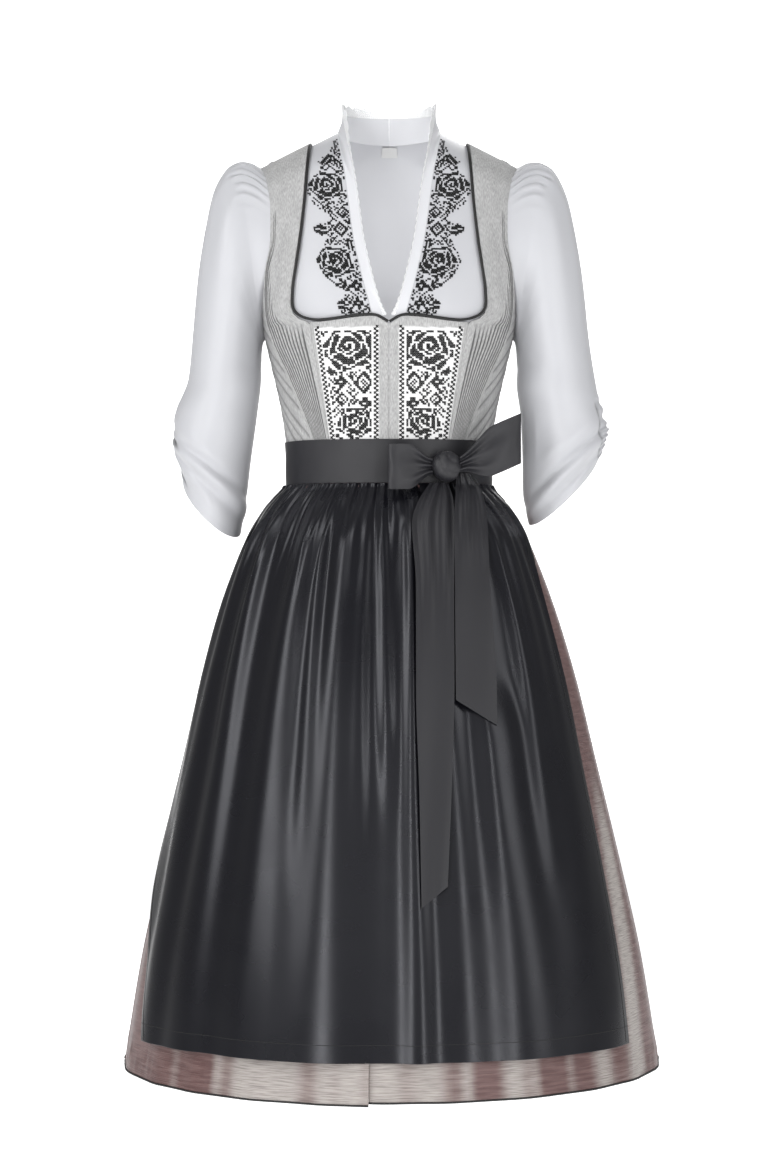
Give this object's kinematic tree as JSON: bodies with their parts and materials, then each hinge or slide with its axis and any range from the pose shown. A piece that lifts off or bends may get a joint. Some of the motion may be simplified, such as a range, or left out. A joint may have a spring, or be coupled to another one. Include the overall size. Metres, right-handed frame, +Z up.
{
  "type": "dirndl dress with apron and blouse",
  "caption": "Worn folk dress: fitted corded bodice with square neck over a puff-sleeved blouse, gathered skirt, and an apron tied with a bow.",
  "frame": {"origin": "middle of the shoulder line, between the shoulders, where the wearer holds the garment up", "axes": "+X to the right seen from the front, +Y to the back, +Z up; the front faces -Y"},
  "size_m": [0.6204, 0.5785, 1.1045],
  "materials": {
    "bodice_cloth": "matt woven",
    "embroidered_panel": "cross-stitched",
    "black_trim": "corded",
    "skirt_taffeta": "shot taffeta",
    "apron_satin": "satin",
    "blouse_satin": "satin",
    "lace": "lace",
    "label": "woven tape"
  },
  "bodies": {
    "root": {"apron_band": "apron_satin", "apron_panel": "apron_satin", "blouse_back": "blouse_satin", "blouse_front_left": "blouse_satin", "blouse_front_right": "blouse_satin", "bodice_back": "bodice_cloth", "bodice_back_side_left": "bodice_cloth", "bodice_back_side_right": "bodice_cloth", "bodice_corded_left": "bodice_cloth", "bodice_corded_right": "bodice_cloth", "bodice_front_left": "embroidered_panel", "bodice_front_right": "embroidered_panel", "bodice_side_left": "bodice_cloth", "bodice_side_right": "bodice_cloth", "bodice_strap_left": "bodice_cloth", "bodice_strap_right": "bodice_cloth", "bow_knot": "apron_satin", "bow_loop_left": "apron_satin", "bow_loop_right": "apron_satin", "bow_tail_long": "apron_satin", "bow_tail_short": "apron_satin", "collar_left": "blouse_satin", "collar_right": "blouse_satin", "lace_left": "lace", "lace_right": "lace", "neck_label": "label", "neck_piping": "black_trim", "skirt_back_left": "skirt_taffeta", "skirt_back_right": "skirt_taffeta", "skirt_front_left": "skirt_taffeta", "skirt_front_right": "skirt_taffeta", "sleeve_left": "blouse_satin", "sleeve_right": "blouse_satin"}
  },
  "joints": []
}
